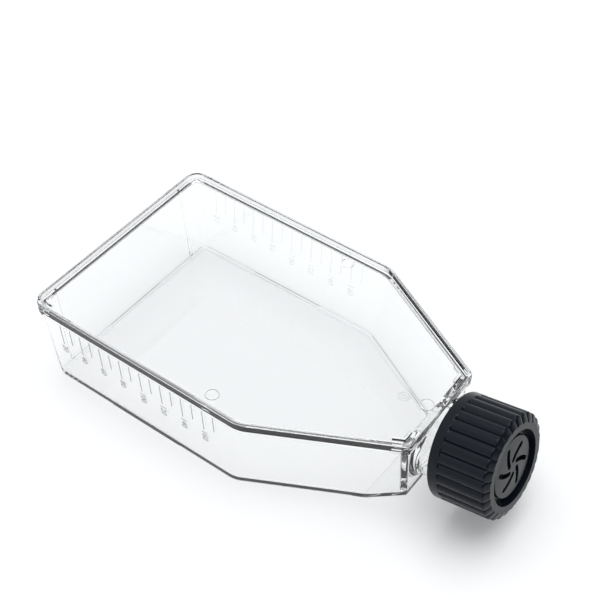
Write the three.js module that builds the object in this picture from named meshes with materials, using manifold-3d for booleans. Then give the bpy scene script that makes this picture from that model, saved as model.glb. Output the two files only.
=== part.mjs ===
// A cell culture flask with 75 square centimetres of growth area: a clear moulded tray with a canted
// neck, a cover plate welded onto it, and a ribbed screw cap that holds a vent membrane and a seal.
//
// Millimetres, +Z up, neck towards +X. The flask is laid out from the rear edge of its rim (x = 0) and
// its middle plane (y = 0), standing on z = 0. The finished group is moved along X so that the origin
// lies under the middle of the whole part.

import * as THREE from "three";
import { mergeVertices } from "three/addons/utils/BufferGeometryUtils.js";
import Module from "manifold-3d";

const wasm = await Module();
wasm.setup();

// ---- Driving dimensions ------------------------------------------------------------------------

// Plan of the rim: a rectangle with its front corners cut off by two shoulders.
const RIM_LENGTH = 130.3;
const RIM_WIDTH = 82;
const SHOULDER_LENGTH = 45.3; // from the front edge back to the bend, along X
const NOSE_WIDTH = 35; // front edge between the shoulders
const REAR_RADIUS = 5;
const BEND_RADIUS = 11;
const NOSE_RADIUS = 2;
const LEAST_RADIUS = 0.6;

// Levels and thicknesses.
const HEIGHT = 34.7; // to the top of the stacking ridge
const FOOT_HEIGHT = 0.45;
const FLOOR = 1.4;
const WALL = 1.5;
const FRONT_WALL = 2.4; // thicker, because it carries the neck
const FLANGE_THICKNESS = 1.4;
const FLANGE_OVERHANG = 1;
const PLATE_THICKNESS = 1.3;
const RIDGE_HEIGHT = 1.6;
const RIDGE_WIDTH = 1.2;
const RIDGE_DRAFT = 0.15;
const RIM_EDGE_RADIUS = 0.5;

// How far each wall's foot stands in from the rim. The walls lean out from here to the flange.
const FOOT_INSET = { rear: 4.1, side: 2.4, shoulder: 4.3, nose: 1.6 };
const FOOT_EDGE_RADIUS = 0.8;
const FLOOR_FILLET = 2;

// The floor rises to the neck, so that liquid pours out to the last drop.
const RAMP_LENGTH = 12.7; // back from the foot of the front wall
const RAMP_RISE = 6;

// Ridges under the floor's edge carry the flask, and leave gaps for air.
const FOOT_RIDGE_INSET = 0.6;
const FOOT_RIDGE_WIDTH = 1;
const REAR_FOOT_GAP = 26.4;
const SIDE_FOOT_GAP_START = 28.6;
const SIDE_FOOT_GAP_END = 57.5;
const FOOT_END_BEFORE_RAMP = 3;

// Two thin ribs stiffen the rear wall.
const REAR_RIB_SPACING = 61.6;
const REAR_RIB_WIDTH = 0.8;
const REAR_RIB_HEIGHT = 0.5;

// Corner lugs on the cover plate locate the next flask in a stack.
const LUG_INSET = 2.6;
const LUG_WIDTH = 1.5;
const LUG_ARM = 4;
const LUG_HEIGHT = 0.9;

// The neck leans up from the front wall.
const NECK_CANT = THREE.MathUtils.degToRad(11.6);
const NECK_BORE_RADIUS = 10;
const NECK_WALL = 2.2;
const NECK_ROOF = 0.4; // tray material left between the bore and the cover plate at the rim
const NECK_ROOT_LENGTH = 2.2; // how far the root's fillet runs out along the neck
const NECK_ROOT_HALF_WIDTH = 15.2;
const NECK_ROOT_SQUARENESS = 6; // the power of the superellipse it draws on the wall, above the axis
const NECK_ROOT_BELOW = 1; // the fillet's width under the neck
const NECK_TAIL = 16; // how far the uncut neck starts behind the rim, inside the flask
const LIP_CHAMFER = 0.4;

// The cap, along the neck's axis from its open end.
const CAP_STANDOFF = 6.5; // rim's front edge to the cap's open end
const CAP_LENGTH = 19.8;
const CAP_WALL = 2.2;
const THREAD_ROOM = 1.7; // between the neck and the cap's bore
const RIB_COUNT = 28;
const RIB_HEIGHT = 0.8;
const PLAIN_BAND = 3;
const RIB_RUNOUT = 0.7;
const CAP_EDGE_RADIUS = 1.9;
const CAP_MOUTH_CHAMFER = 0.5;
const CAP_END_WALL = 1.9; // of the disc in the recess
const RECESS_RADIUS = 12.1;
const RECESS_DEPTH = 1; // down to the edge of the disc
const GROOVE_WIDTH = 1.7; // between the recess's wall and the disc
const GROOVE_DEPTH = 2.3; // below the cap's face
const RECESS_DRAFT = 0.1;
const DISC_DOME = 0.3;

// Six vent slots sweep round the cap's face like a pinwheel.
const SLOT_COUNT = 6;
const SLOT_WIDTH = 1.6;
const SLOT_OUTER_RADIUS = 8.2;
const SLOT_INNER_RADIUS = 1.7;
const SLOT_TURN = THREE.MathUtils.degToRad(10);
const SLOT_SWEEP = THREE.MathUtils.degToRad(40);
const SLOT_BOW = 0.4; // how far the middle of a slot bows out from a straight line

// What the cap holds.
const MEMBRANE_THICKNESS = 0.3;
const MEMBRANE_LAP = 1.6; // how far the membrane reaches past the neck's bore
const SEAL_THICKNESS = 1.2;
const SEAL_LAP = 0.3; // how far the seal reaches over the neck's bore
const SEAL_SIDE_CLEARANCE = 0.5;
const LINER_BEAD_HEIGHT = 0.8;
const SEAT_CLEARANCE = 0.3; // between the cap's end wall, the membrane, the seal and the neck's lip

// Facets.
const CORNER_STEPS = 6;
const EDGE_STEPS = 3;
const ROUND_STEPS = 72;
const NECK_STEPS = 48;

// ---- Levels and places worked out from them ----------------------------------------------------

const plateTop = HEIGHT - RIDGE_HEIGHT;
const seam = plateTop - PLATE_THICKNESS; // where the cover plate is welded to the flange
const flangeBottom = seam - FLANGE_THICKNESS;
const floorTop = FOOT_HEIGHT + FLOOR;
const flangeInset = evenInset(FLANGE_OVERHANG);
const shoulderStart = RIM_LENGTH - SHOULDER_LENGTH;
const rampStart = RIM_LENGTH - FOOT_INSET.nose - RAMP_LENGTH;

const neckRadius = NECK_BORE_RADIUS + NECK_WALL;
const neckHeight = seam - NECK_ROOF - NECK_BORE_RADIUS / Math.cos(NECK_CANT);

const capBoreRadius = neckRadius + THREAD_ROOM;
const ribRootRadius = capBoreRadius + CAP_WALL;
const capRadius = ribRootRadius + RIB_HEIGHT;
const endWallInside = CAP_LENGTH - RECESS_DEPTH - CAP_END_WALL;
const membraneStart = endWallInside - SEAT_CLEARANCE - MEMBRANE_THICKNESS;
const sealStart = membraneStart - SEAT_CLEARANCE - SEAL_THICKNESS;
const lipInCap = sealStart - SEAT_CLEARANCE;
const membraneRadius = NECK_BORE_RADIUS + MEMBRANE_LAP;
const neckLength = CAP_STANDOFF + lipInCap;

// ---- Solids ------------------------------------------------------------------------------------

// A three.js geometry as a solid that can be joined and cut.
function solidOf(geometry) {
  const bare = new THREE.BufferGeometry();
  bare.setAttribute("position", geometry.getAttribute("position"));
  bare.setIndex(geometry.index);
  const merged = mergeVertices(bare, 1e-4);
  const mesh = new wasm.Mesh({
    numProp: 3,
    vertProperties: merged.attributes.position.array,
    triVerts: new Uint32Array(merged.index.array),
  });
  return new wasm.Manifold(mesh);
}

// A finished solid as a named three.js mesh.
function meshOf(name, solid, material) {
  const { vertProperties, triVerts } = solid.getMesh();
  const geometry = new THREE.BufferGeometry();
  geometry.setAttribute("position", new THREE.BufferAttribute(vertProperties, 3));
  geometry.setIndex(new THREE.BufferAttribute(triVerts, 1));
  geometry.computeVertexNormals();
  const mesh = new THREE.Mesh(geometry, material);
  mesh.name = name;
  return mesh;
}

// A closed surface through rings of points. Each ring has the same number of points and turns
// anticlockwise as seen from ahead. An endless loft closes on its first ring, and any other is capped
// by its flat first and last rings.
function loft(rings, endless = false) {
  const count = rings[0].length;
  const index = [];
  const bands = endless ? rings.length : rings.length - 1;
  for (let band = 0; band < bands; band++) {
    const here = band * count;
    const ahead = ((band + 1) % rings.length) * count;
    for (let i = 0; i < count; i++) {
      const next = (i + 1) % count;
      index.push(here + i, here + next, ahead + next, here + i, ahead + next, ahead + i);
    }
  }
  if (!endless) {
    const last = (rings.length - 1) * count;
    for (const [a, b, c] of THREE.ShapeUtils.triangulateShape(rings[0], [])) index.push(a, c, b);
    for (const [a, b, c] of THREE.ShapeUtils.triangulateShape(rings.at(-1), [])) {
      index.push(last + a, last + b, last + c);
    }
  }
  const positions = rings.flat().flatMap((p) => [p.x, p.y, p.z]);
  const geometry = new THREE.BufferGeometry();
  geometry.setAttribute("position", new THREE.Float32BufferAttribute(positions, 3));
  geometry.setIndex(index);
  return solidOf(geometry);
}

// A profile of [radius, height] points, traced anticlockwise, turned about the Z axis.
function turned(profile, steps = ROUND_STEPS) {
  const points = profile.map(([radius, height]) => new THREE.Vector2(radius, height));
  const geometry = new THREE.LatheGeometry(points, steps);
  geometry.rotateX(Math.PI / 2);
  return solidOf(geometry);
}

// A box between two corners.
function box([x0, y0, z0], [x1, y1, z1]) {
  const geometry = new THREE.BoxGeometry(x1 - x0, y1 - y0, z1 - z0);
  geometry.translate((x0 + x1) / 2, (y0 + y1) / 2, (z0 + z1) / 2);
  return solidOf(geometry);
}

function unite(solids) {
  return solids.reduce((whole, solid) => whole.add(solid));
}

// ---- The flask's plan --------------------------------------------------------------------------

function evenInset(inset) {
  return { rear: inset, side: inset, shoulder: inset, nose: inset };
}

function deeper(inset, by) {
  return {
    rear: inset.rear + by,
    side: inset.side + by,
    shoulder: inset.shoulder + by,
    nose: inset.nose + by,
  };
}

// The walls' inset at a height: FOOT_INSET at the floor, the overhang at the flange.
function wallInset(z) {
  const share = THREE.MathUtils.clamp((z - FOOT_HEIGHT) / (flangeBottom - FOOT_HEIGHT), 0, 1);
  const inset = {};
  for (const wall of Object.keys(FOOT_INSET)) {
    inset[wall] = THREE.MathUtils.lerp(FOOT_INSET[wall], FLANGE_OVERHANG, share);
  }
  return inset;
}

// Where two wall lines meet. A wall is { outward, reach }: its points have outward . p = reach.
function crossing(a, b) {
  const scale = 1 / (a.outward.x * b.outward.y - a.outward.y * b.outward.x);
  return new THREE.Vector2(
    (a.reach * b.outward.y - b.reach * a.outward.y) * scale,
    (b.reach * a.outward.x - a.reach * b.outward.x) * scale,
  );
}

// The six sharp corners of the plan, anticlockwise from the rear one at -Y, with their radii.
function planCorners(inset) {
  const half = RIM_WIDTH / 2;
  const nose = NOSE_WIDTH / 2;
  const rim = [
    new THREE.Vector2(0, -half),
    new THREE.Vector2(shoulderStart, -half),
    new THREE.Vector2(RIM_LENGTH, -nose),
    new THREE.Vector2(RIM_LENGTH, nose),
    new THREE.Vector2(shoulderStart, half),
    new THREE.Vector2(0, half),
  ];
  const insets = [inset.side, inset.shoulder, inset.nose, inset.shoulder, inset.side, inset.rear];
  const radii = [REAR_RADIUS, BEND_RADIUS, NOSE_RADIUS, NOSE_RADIUS, BEND_RADIUS, REAR_RADIUS];
  const walls = rim.map((start, i) => {
    const along = rim[(i + 1) % rim.length].clone().sub(start).normalize();
    const outward = new THREE.Vector2(along.y, -along.x);
    return { outward, reach: outward.dot(start) - insets[i] };
  });
  return walls.map((wall, i) => {
    const before = (i + walls.length - 1) % walls.length;
    const radius = radii[i] - Math.min(insets[before], insets[i]);
    return { at: crossing(walls[before], wall), radius: Math.max(radius, LEAST_RADIUS) };
  });
}

// The plan as a ring of points at height z, each corner rounded by the same number of steps.
function planRing(z, inset) {
  const corners = planCorners(inset);
  return corners.flatMap(({ at, radius }, i) => {
    const before = corners.at(i - 1).at;
    const after = corners[(i + 1) % corners.length].at;
    const back = before.clone().sub(at).normalize();
    const ahead = after.clone().sub(at).normalize();
    const halfAngle = Math.acos(back.dot(ahead)) / 2;
    const bisector = back.clone().add(ahead).normalize();
    const centre = at.clone().addScaledVector(bisector, radius / Math.sin(halfAngle));
    const start = at.clone().addScaledVector(back, radius / Math.tan(halfAngle));
    const turn = Math.PI - 2 * halfAngle;
    return Array.from({ length: CORNER_STEPS + 1 }, (_, step) => {
      const point = start.clone().rotateAround(centre, (turn * step) / CORNER_STEPS);
      return new THREE.Vector3(point.x, point.y, z);
    });
  });
}

// Rings that round the foot of a wall: from inset radius at height z, out and up to the wall.
function roundedFoot(z, wallAt, radius) {
  return Array.from({ length: EDGE_STEPS + 1 }, (_, step) => {
    const angle = (Math.PI / 2) * (step / EDGE_STEPS);
    const height = z + radius * (1 - Math.cos(angle));
    return planRing(height, deeper(wallAt(height), radius * (1 - Math.sin(angle))));
  });
}

// A wall that follows the plan between two heights and two insets.
function planFrame(bottom, top, outer, inner) {
  const outside = loft([planRing(bottom, outer), planRing(top, outer)]);
  const inside = loft([planRing(bottom - 1, inner), planRing(top + 1, inner)]);
  return outside.subtract(inside);
}

// ---- Tray and neck -----------------------------------------------------------------------------

const rampAngle = Math.atan2(RAMP_RISE - FOOT_HEIGHT, RAMP_LENGTH);

// What lies under the ramp, down from a plane that leaves the level z at the ramp's start. A raised ramp
// starts earlier, so that its slope keeps the floor's thickness from the one below.
function underRamp(z) {
  const raised = z - FOOT_HEIGHT;
  const start = rampStart - raised * Math.tan(rampAngle / 2);
  const far = RIM_LENGTH * 1.2;
  const slope = Math.tan(rampAngle);
  const before = start - FLOOR;
  const shape = new THREE.Shape([
    new THREE.Vector2(before, z - FLOOR * slope),
    new THREE.Vector2(before, -HEIGHT),
    new THREE.Vector2(far, -HEIGHT),
    new THREE.Vector2(far, z + (far - start) * slope),
  ]);
  const geometry = new THREE.ExtrudeGeometry(shape, { depth: RIM_WIDTH, bevelEnabled: false });
  geometry.rotateX(Math.PI / 2);
  geometry.translate(0, RIM_WIDTH / 2, 0);
  return solidOf(geometry);
}

// The tray's outside: rounded foot, leaning walls and flange, before it is hollowed.
function trayOutside() {
  const walls = loft([
    ...roundedFoot(FOOT_HEIGHT, wallInset, FOOT_EDGE_RADIUS),
    planRing(flangeBottom, flangeInset),
    planRing(seam, flangeInset),
  ]);
  const flange = loft([planRing(flangeBottom, evenInset(0)), planRing(seam, evenInset(0))]);
  return walls.subtract(underRamp(FOOT_HEIGHT)).add(flange);
}

// The hollow inside the tray, open through the seam. Its walls follow the outer ones.
function trayHollow() {
  const inside = (z) => {
    const outer = wallInset(z);
    return { ...deeper(outer, WALL), nose: outer.nose + FRONT_WALL };
  };
  const hollow = loft([
    ...roundedFoot(floorTop, inside, FLOOR_FILLET),
    planRing(flangeBottom, inside(flangeBottom)),
    planRing(HEIGHT, inside(flangeBottom)),
  ]);
  return hollow.subtract(underRamp(floorTop));
}

// Ridges under the floor's edge, broken by a gap in the rear and in each side.
function footRidges() {
  const outer = deeper(FOOT_INSET, FOOT_RIDGE_INSET);
  const ridge = planFrame(0, floorTop - FLOOR / 2, outer, deeper(outer, FOOT_RIDGE_WIDTH));
  const rearGap = box([0, -REAR_FOOT_GAP / 2, -1], [RIM_LENGTH / 4, REAR_FOOT_GAP / 2, floorTop]);
  const sideGap = box([SIDE_FOOT_GAP_START, -RIM_WIDTH, -1], [SIDE_FOOT_GAP_END, RIM_WIDTH, floorTop]);
  const front = box(
    [rampStart - FOOT_END_BEFORE_RAMP, -RIM_WIDTH, -1],
    [RIM_LENGTH, RIM_WIDTH, floorTop],
  );
  return ridge.subtract(unite([rearGap, sideGap, front]));
}

// A rib that stands up the outside of the rear wall, from the floor to the flange.
function rearRib(y) {
  const half = REAR_RIB_WIDTH / 2;
  const ring = (z) => {
    const face = wallInset(z).rear;
    return [
      new THREE.Vector3(face - REAR_RIB_HEIGHT, y - half, z),
      new THREE.Vector3(face + WALL / 2, y - half, z),
      new THREE.Vector3(face + WALL / 2, y + half, z),
      new THREE.Vector3(face - REAR_RIB_HEIGHT, y + half, z),
    ];
  };
  return loft([ring(FOOT_HEIGHT + FOOT_EDGE_RADIUS), ring(flangeBottom)]);
}

// Moves a solid from the neck's own frame (Z along its axis, from the rim) to the flask's.
const neckPlace = new THREE.Matrix4()
  .makeTranslation(RIM_LENGTH, 0, neckHeight)
  .multiply(new THREE.Matrix4().makeRotationY(Math.PI / 2 - NECK_CANT));

function neckTube() {
  return turned(
    [
      [0, -NECK_TAIL],
      [neckRadius, -NECK_TAIL],
      [neckRadius, neckLength - LIP_CHAMFER],
      [neckRadius - LIP_CHAMFER, neckLength],
      [0, neckLength],
    ],
    ROUND_STEPS,
  );
}

function neckBore() {
  return turned(
    [
      [0, -NECK_TAIL],
      [NECK_BORE_RADIUS, -NECK_TAIL],
      [NECK_BORE_RADIUS, neckLength - LIP_CHAMFER],
      [NECK_BORE_RADIUS + 2 * LIP_CHAMFER, neckLength + LIP_CHAMFER],
      [0, neckLength + LIP_CHAMFER],
    ],
    ROUND_STEPS,
  );
}

// How far the root's fillet reaches from the neck's axis, at an angle from straight down. On the wall
// it draws a superellipse, squarish towards the rim and round below.
function rootReach(angle) {
  const below = Math.cos(angle) > 0;
  const power = below ? 2.2 : NECK_ROOT_SQUARENESS;
  const side = Math.abs(Math.sin(angle)) / NECK_ROOT_HALF_WIDTH;
  const upright = below ? neckRadius + NECK_ROOT_BELOW : NECK_ROOT_HALF_WIDTH;
  const height = Math.abs(Math.cos(angle)) / upright;
  return (side ** power + height ** power) ** (-1 / power);
}

// A hollow fillet where the neck leaves the leaning front wall. At each angle its section is drawn in
// radius and distance ahead of the wall's outer face. It ends level with the seam and the ramp.
function neckRoot() {
  const toFlask = neckPlace.clone();
  const axis = new THREE.Vector3(0, 0, 1).transformDirection(toFlask);
  const lean = (FOOT_INSET.nose - FLANGE_OVERHANG) / (flangeBottom - FOOT_HEIGHT);
  const wallNormal = new THREE.Vector3(1, 0, -lean).normalize();
  const wallPoint = new THREE.Vector3(RIM_LENGTH - FLANGE_OVERHANG, 0, flangeBottom);
  const onWall = (radius, angle) => {
    const foot = new THREE.Vector3(radius * Math.cos(angle), radius * Math.sin(angle), 0);
    const away = wallPoint.clone().sub(foot.clone().applyMatrix4(toFlask));
    return away.dot(wallNormal) / axis.dot(wallNormal);
  };
  const rings = Array.from({ length: NECK_STEPS }, (_, step) => {
    const angle = (2 * Math.PI * step) / NECK_STEPS;
    const reach = rootReach(angle);
    const at = (radius, ahead) => {
      const z = onWall(radius, angle) + ahead;
      return new THREE.Vector3(radius * Math.cos(angle), radius * Math.sin(angle), z);
    };
    const hollow = Array.from({ length: EDGE_STEPS + 1 }, (_, i) => {
      const bend = (Math.PI / 2) * (i / EDGE_STEPS);
      const radius = neckRadius + (reach - neckRadius) * (1 - Math.sin(bend));
      return at(radius, NECK_ROOT_LENGTH * (1 - Math.cos(bend)));
    });
    const inside = neckRadius - NECK_WALL / 2;
    return [
      at(reach, -WALL / 2),
      at(inside, -WALL / 2),
      at(inside, NECK_ROOT_LENGTH),
      ...hollow.reverse(),
    ];
  });
  const aboveSeam = box([RIM_LENGTH / 2, -RIM_WIDTH, seam], [RIM_LENGTH * 2, RIM_WIDTH, HEIGHT * 2]);
  return loft(rings, true)
    .transform(toFlask.toArray())
    .subtract(aboveSeam)
    .subtract(underRamp(FOOT_HEIGHT));
}

function flaskBody() {
  const shell = unite([
    trayOutside(),
    footRidges(),
    rearRib(REAR_RIB_SPACING / 2),
    rearRib(-REAR_RIB_SPACING / 2),
    neckTube().transform(neckPlace.toArray()),
    neckRoot(),
  ]);
  // The neck's crown stops at the front of the rim, where the cover plate lies over it.
  const underPlate = box([0, -RIM_WIDTH, seam], [RIM_LENGTH, RIM_WIDTH, HEIGHT * 2]);
  const bore = neckBore().transform(neckPlace.toArray());
  return shell.subtract(underPlate).subtract(trayHollow()).subtract(bore);
}

// ---- Cover plate -------------------------------------------------------------------------------

// An L-shaped lug in each corner: a strip that follows the plan, kept only near the corner.
function stackingLugs() {
  const outer = evenInset(LUG_INSET);
  const inner = deeper(outer, LUG_WIDTH);
  const strip = planFrame(plateTop - PLATE_THICKNESS / 2, plateTop + LUG_HEIGHT, outer, inner);
  const ends = planCorners(outer).filter((_, i) => i % 3 !== 1);
  const keep = ends.map(({ at }) => {
    const post = new THREE.CylinderGeometry(LUG_ARM, LUG_ARM, HEIGHT, NECK_STEPS);
    post.rotateX(Math.PI / 2);
    post.translate(at.x, at.y, plateTop);
    return solidOf(post);
  });
  return strip.intersect(unite(keep));
}

function topPlate() {
  const edge = RIM_EDGE_RADIUS;
  const roundedTop = Array.from({ length: EDGE_STEPS + 1 }, (_, step) => {
    const angle = (Math.PI / 2) * (step / EDGE_STEPS);
    return planRing(HEIGHT - edge * (1 - Math.sin(angle)), evenInset(edge * (1 - Math.cos(angle))));
  });
  const blank = loft([planRing(seam, evenInset(0)), ...roundedTop]);
  const field = loft([
    planRing(plateTop, evenInset(RIDGE_WIDTH + RIDGE_DRAFT)),
    planRing(HEIGHT, evenInset(RIDGE_WIDTH)),
    planRing(HEIGHT + RIDGE_HEIGHT, evenInset(RIDGE_WIDTH)),
  ]);
  return blank.subtract(field).add(stackingLugs());
}

// ---- Cap, in the neck's own frame from its open end --------------------------------------------

// A ring round the cap, of the radius its ribs reach there. Each rib is a low arch. The grooves deepen
// after the plain band and grow shallow over the rounded front edge, where they notch the face.
function capRing([z, crest]) {
  const steps = 6;
  const start = THREE.MathUtils.smoothstep(z, PLAIN_BAND, PLAIN_BAND + RIB_RUNOUT);
  const ahead = THREE.MathUtils.clamp((CAP_LENGTH - z) / CAP_EDGE_RADIUS, 0, 1);
  const depth = RIB_HEIGHT * start * Math.sqrt(0.15 + 0.85 * ahead);
  const archEdge = 0.95;
  const archDrop = 1 - Math.sqrt(1 - archEdge ** 2);
  return Array.from({ length: RIB_COUNT * steps }, (_, i) => {
    const across = ((i % steps) / steps) * 2 - 1;
    const drop = (1 - Math.sqrt(1 - (archEdge * across) ** 2)) / archDrop;
    const radius = crest - depth * drop;
    const angle = (2 * Math.PI * i) / (RIB_COUNT * steps);
    return new THREE.Vector3(radius * Math.cos(angle), radius * Math.sin(angle), z);
  });
}

// The recess in the cap's face: a slightly domed disc with a deeper groove round it.
function capRecess() {
  const discRadius = RECESS_RADIUS - GROOVE_WIDTH;
  const discEdge = CAP_LENGTH - RECESS_DEPTH;
  return turned([
    [0, discEdge + DISC_DOME],
    [discRadius / 2, discEdge + DISC_DOME * 0.75],
    [discRadius, discEdge],
    [discRadius + RECESS_DRAFT, CAP_LENGTH - GROOVE_DEPTH],
    [RECESS_RADIUS - RECESS_DRAFT, CAP_LENGTH - GROOVE_DEPTH],
    [RECESS_RADIUS, CAP_LENGTH],
    [RECESS_RADIUS, CAP_LENGTH + 1],
    [0, CAP_LENGTH + 1],
  ]);
}

// The cap's bore, with the bead that holds the seal against the end wall.
function capBore() {
  const beadRadius = capBoreRadius - LINER_BEAD_HEIGHT;
  const beadTop = sealStart - SEAT_CLEARANCE / 2;
  return turned([
    [0, -1],
    [capBoreRadius + CAP_MOUTH_CHAMFER, -1],
    [capBoreRadius + CAP_MOUTH_CHAMFER, 0],
    [capBoreRadius, CAP_MOUTH_CHAMFER],
    [capBoreRadius, beadTop - 2 * LINER_BEAD_HEIGHT],
    [beadRadius, beadTop - LINER_BEAD_HEIGHT],
    [beadRadius, beadTop - LINER_BEAD_HEIGHT / 2],
    [capBoreRadius, beadTop],
    [capBoreRadius, endWallInside],
    [0, endWallInside],
  ]);
}

// One vent slot through the end wall: a bowed line of the slot's width with round ends.
function ventSlot(turn) {
  const polar = (radius, angle) => {
    return new THREE.Vector2(radius * Math.cos(angle), radius * Math.sin(angle));
  };
  const outer = polar(SLOT_OUTER_RADIUS - SLOT_WIDTH / 2, turn);
  const inner = polar(SLOT_INNER_RADIUS + SLOT_WIDTH / 2, turn + SLOT_SWEEP);
  const along = inner.clone().sub(outer).normalize();
  const side = new THREE.Vector2(along.y, -along.x);
  const bow = outer.clone().lerp(inner, 0.5).addScaledVector(side, 2 * SLOT_BOW);
  const line = new THREE.QuadraticBezierCurve(outer, bow, inner);
  const bank = (sign) => {
    return Array.from({ length: CORNER_STEPS + 1 }, (_, i) => {
      const share = i / CORNER_STEPS;
      const tangent = line.getTangent(share);
      const out = new THREE.Vector2(tangent.y, -tangent.x);
      return line.getPoint(share).addScaledVector(out, (sign * SLOT_WIDTH) / 2);
    });
  };
  const roundEnd = (centre, from) => {
    return Array.from({ length: CORNER_STEPS - 1 }, (_, i) => {
      return from.clone().rotateAround(centre, (Math.PI * (i + 1)) / CORNER_STEPS);
    });
  };
  const right = bank(1);
  const left = bank(-1).reverse();
  const outline = [
    ...right,
    ...roundEnd(inner, right.at(-1)),
    ...left,
    ...roundEnd(outer, left.at(-1)),
  ];
  const geometry = new THREE.ExtrudeGeometry(new THREE.Shape(outline), {
    depth: CAP_LENGTH - endWallInside + 1,
    bevelEnabled: false,
  });
  geometry.translate(0, 0, endWallInside - 0.5);
  return solidOf(geometry);
}

function capShell() {
  const levels = [[0, capRadius]];
  for (let step = 0; step <= EDGE_STEPS; step++) {
    levels.push([PLAIN_BAND + (RIB_RUNOUT * step) / EDGE_STEPS, capRadius]);
  }
  const roundSteps = EDGE_STEPS + 2;
  for (let step = 0; step <= roundSteps; step++) {
    const angle = (Math.PI / 2) * (step / roundSteps);
    const z = CAP_LENGTH - CAP_EDGE_RADIUS * (1 - Math.sin(angle));
    levels.push([z, capRadius - CAP_EDGE_RADIUS * (1 - Math.cos(angle))]);
  }
  const blank = loft(levels.map(capRing));
  const slots = Array.from({ length: SLOT_COUNT }, (_, i) => {
    return ventSlot(SLOT_TURN + (2 * Math.PI * i) / SLOT_COUNT);
  });
  return blank.subtract(unite([capRecess(), capBore(), ...slots]));
}

function ventMembrane() {
  return turned([
    [0, membraneStart],
    [membraneRadius, membraneStart],
    [membraneRadius, membraneStart + MEMBRANE_THICKNESS],
    [0, membraneStart + MEMBRANE_THICKNESS],
  ]);
}

function sealRing() {
  const inner = NECK_BORE_RADIUS + SEAL_LAP;
  const outer = capBoreRadius - SEAL_SIDE_CLEARANCE;
  return turned([
    [inner, sealStart],
    [outer, sealStart],
    [outer, sealStart + SEAL_THICKNESS],
    [inner, sealStart + SEAL_THICKNESS],
    [inner, sealStart],
  ]);
}

// ---- Materials and assembly --------------------------------------------------------------------

const clearStyrene = new THREE.MeshStandardMaterial({
  color: 0xeef2f3,
  roughness: 0.06,
  metalness: 0,
  transparent: true,
  opacity: 0.35,
});
const capPlastic = new THREE.MeshStandardMaterial({ color: 0x2b3038, roughness: 0.5, metalness: 0 });
const membraneFilm = new THREE.MeshStandardMaterial({ color: 0xd9d6cb, roughness: 0.9, metalness: 0 });
const sealRubber = new THREE.MeshStandardMaterial({ color: 0xe4e2dc, roughness: 0.7, metalness: 0 });

const cap = new THREE.Group();
cap.position.set(RIM_LENGTH, 0, neckHeight);
cap.rotation.y = Math.PI / 2 - NECK_CANT;
const capPieces = [
  meshOf("cap_shell", capShell(), capPlastic),
  meshOf("vent_membrane", ventMembrane(), membraneFilm),
  meshOf("seal_ring", sealRing(), sealRubber),
];
for (const piece of capPieces) {
  piece.position.z = CAP_STANDOFF;
  cap.add(piece);
}

const flask = new THREE.Group();
flask.add(meshOf("flask_body", flaskBody(), clearStyrene));
flask.add(meshOf("top_plate", topPlate(), clearStyrene));
flask.add(cap);

// The origin lies under the middle of the whole part.
const reach = new THREE.Box3().setFromObject(flask, true);
flask.position.x = -(reach.min.x + reach.max.x) / 2;

export default flask;
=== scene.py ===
import math

import bpy
import numpy as np
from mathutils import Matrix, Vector


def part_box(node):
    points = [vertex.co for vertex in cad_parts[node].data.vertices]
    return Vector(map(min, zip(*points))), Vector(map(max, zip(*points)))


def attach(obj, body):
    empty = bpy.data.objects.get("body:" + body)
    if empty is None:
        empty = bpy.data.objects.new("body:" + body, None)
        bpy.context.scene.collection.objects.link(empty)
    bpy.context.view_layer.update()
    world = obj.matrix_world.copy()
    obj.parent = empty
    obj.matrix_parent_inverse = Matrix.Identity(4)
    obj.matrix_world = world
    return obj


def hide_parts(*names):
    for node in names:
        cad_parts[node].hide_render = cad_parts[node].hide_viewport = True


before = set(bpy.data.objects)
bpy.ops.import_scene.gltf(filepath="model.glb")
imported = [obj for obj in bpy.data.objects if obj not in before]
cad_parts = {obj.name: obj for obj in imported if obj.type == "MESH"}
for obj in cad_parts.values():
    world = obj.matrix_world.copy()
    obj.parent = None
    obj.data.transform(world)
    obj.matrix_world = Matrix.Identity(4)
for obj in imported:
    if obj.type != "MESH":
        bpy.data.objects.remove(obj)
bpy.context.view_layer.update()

# ---- View ----------------------------------------------------------------------------------------
# A long lens looks down on the flask from its neck's right-hand side, so that the cover plate, the
# near wall with its scale and the vented face of the cap all show.

EYE = (0.15678, -0.21296, 0.32166)
LOOKED_AT = (-0.02110, 0.02570, 0.01574)
FOCAL_LENGTH = 74.75
SENSOR_WIDTH = 36

camera = bpy.data.objects.new("camera", bpy.data.cameras.new("camera"))
camera.data.lens = FOCAL_LENGTH
camera.data.sensor_width = SENSOR_WIDTH
camera.data.clip_start = 0.01
camera.location = EYE
camera.rotation_euler = (Vector(LOOKED_AT) - Vector(EYE)).to_track_quat("-Z", "Y").to_euler()
bpy.context.scene.collection.objects.link(camera)
bpy.context.scene.camera = camera

# ---- Tray and neck -------------------------------------------------------------------------------
# One injection moulding in clear polystyrene: a shallow tray whose walls lean out to a flange,
# with a ramp up to a canted neck. The walls, the neck and the ribs leave the mould as a single
# piece, and the thread is part of the neck.

# Where the rim's rear edge lies along the row's X axis, in metres.
RIM_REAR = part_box("top_plate")[0].x

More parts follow.
